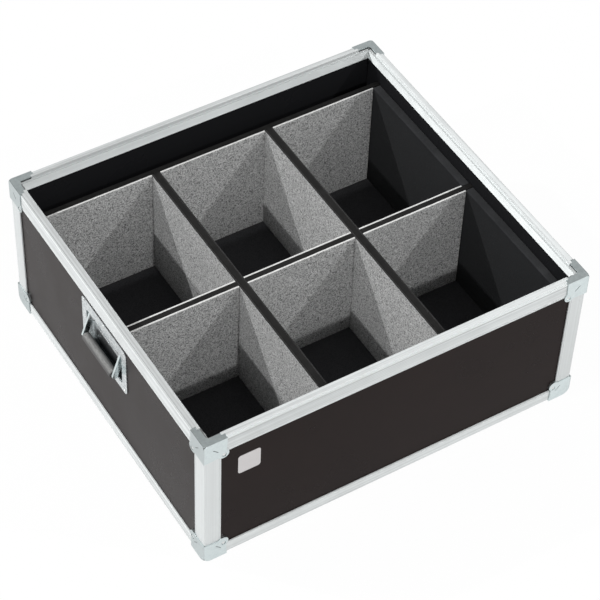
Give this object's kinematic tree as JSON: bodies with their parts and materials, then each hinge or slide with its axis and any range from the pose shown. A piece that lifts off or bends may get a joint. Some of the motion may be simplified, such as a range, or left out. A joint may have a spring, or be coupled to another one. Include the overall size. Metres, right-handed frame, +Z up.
{
  "type": "lighting flight case",
  "caption": "Open flight case tray for stage lights: felt lined bays and a rear trough in plywood, aluminium edge bars, pressed corner braces and sprung side handles.",
  "frame": {"origin": "on the floor, under the middle of the case: the centre of the bounding box's bottom face", "axes": "+X to the right along the front, +Y from the front to the back trough, +Z up"},
  "size_m": [0.7496, 0.66, 0.297],
  "materials": {
    "phenolic_panel": "dark brown phenolic film on birch plywood, satin",
    "anodised_bar": "clear anodised extrusion with fine lines along its length",
    "zinc_pressing": "zinc plated steel, satin",
    "spring_steel": "drawn spring wire",
    "grip_rubber": "moulded, matt",
    "black_ply": "black stained plywood, matt",
    "grey_felt": "speckled grey needle felt",
    "black_foam": "closed cell foam, matt"
  },
  "bodies": {
    "case": {"back_panel": "phenolic_panel", "bottom_brace_back_left": "zinc_pressing", "bottom_brace_back_right": "zinc_pressing", "bottom_brace_front_left": "zinc_pressing", "bottom_brace_front_right": "zinc_pressing", "bottom_edge_back": "anodised_bar", "bottom_edge_front": "anodised_bar", "bottom_edge_left": "anodised_bar", "bottom_edge_right": "anodised_bar", "bottom_panel": "phenolic_panel", "corner_edge_back_left": "anodised_bar", "corner_edge_back_right": "anodised_bar", "corner_edge_front_left": "anodised_bar", "corner_edge_front_right": "anodised_bar", "cross_divider": "black_ply", "felt_cross_back": "grey_felt", "felt_cross_front": "grey_felt", "felt_front_wall": "grey_felt", "felt_long_left_a": "grey_felt", "felt_long_left_b": "grey_felt", "felt_long_right_a": "grey_felt", "felt_long_right_b": "grey_felt", "felt_rear_divider": "grey_felt", "floor_pad_back_1": "black_foam", "floor_pad_back_2": "black_foam", "floor_pad_back_3": "black_foam", "floor_pad_front_1": "black_foam", "floor_pad_front_2": "black_foam", "floor_pad_front_3": "black_foam", "front_panel": "phenolic_panel", "handle_left_axle": "zinc_pressing", "handle_left_dish": "zinc_pressing", "handle_left_spring": "spring_steel", "handle_right_axle": "zinc_pressing", "handle_right_dish": "zinc_pressing", "handle_right_spring": "spring_steel", "left_panel": "phenolic_panel", "liner_left_back": "black_foam", "liner_left_front": "black_foam", "liner_right_back": "black_foam", "liner_right_front": "black_foam", "long_divider_left": "black_ply", "long_divider_right": "black_ply", "rear_divider": "black_ply", "right_panel": "phenolic_panel", "rim_back": "anodised_bar", "rim_front": "anodised_bar", "rim_left": "anodised_bar", "rim_right": "anodised_bar", "top_brace_back_left": "zinc_pressing", "top_brace_back_right": "zinc_pressing", "top_brace_front_left": "zinc_pressing", "top_brace_front_right": "zinc_pressing"},
    "handle_left_bail_body": {"handle_left_bail": "zinc_pressing", "handle_left_grip": "grip_rubber"},
    "handle_right_bail_body": {"handle_right_bail": "zinc_pressing", "handle_right_grip": "grip_rubber"}
  },
  "joints": [
    {"name": "handle_left_hinge", "type": "hinge", "parent": "case", "child": "handle_left_bail_body", "pos_m": [-0.3523, 0, 0.2254], "axis": [0, 1, 0], "range_deg": [0, 90], "stiffness_Nm_per_rad": 0.15, "springref_deg": -60.16},
    {"name": "handle_right_hinge", "type": "hinge", "parent": "case", "child": "handle_right_bail_body", "pos_m": [0.3523, 0, 0.2254], "axis": [0, -1, 0], "range_deg": [0, 90], "stiffness_Nm_per_rad": 0.15, "springref_deg": -60.16}
  ]
}
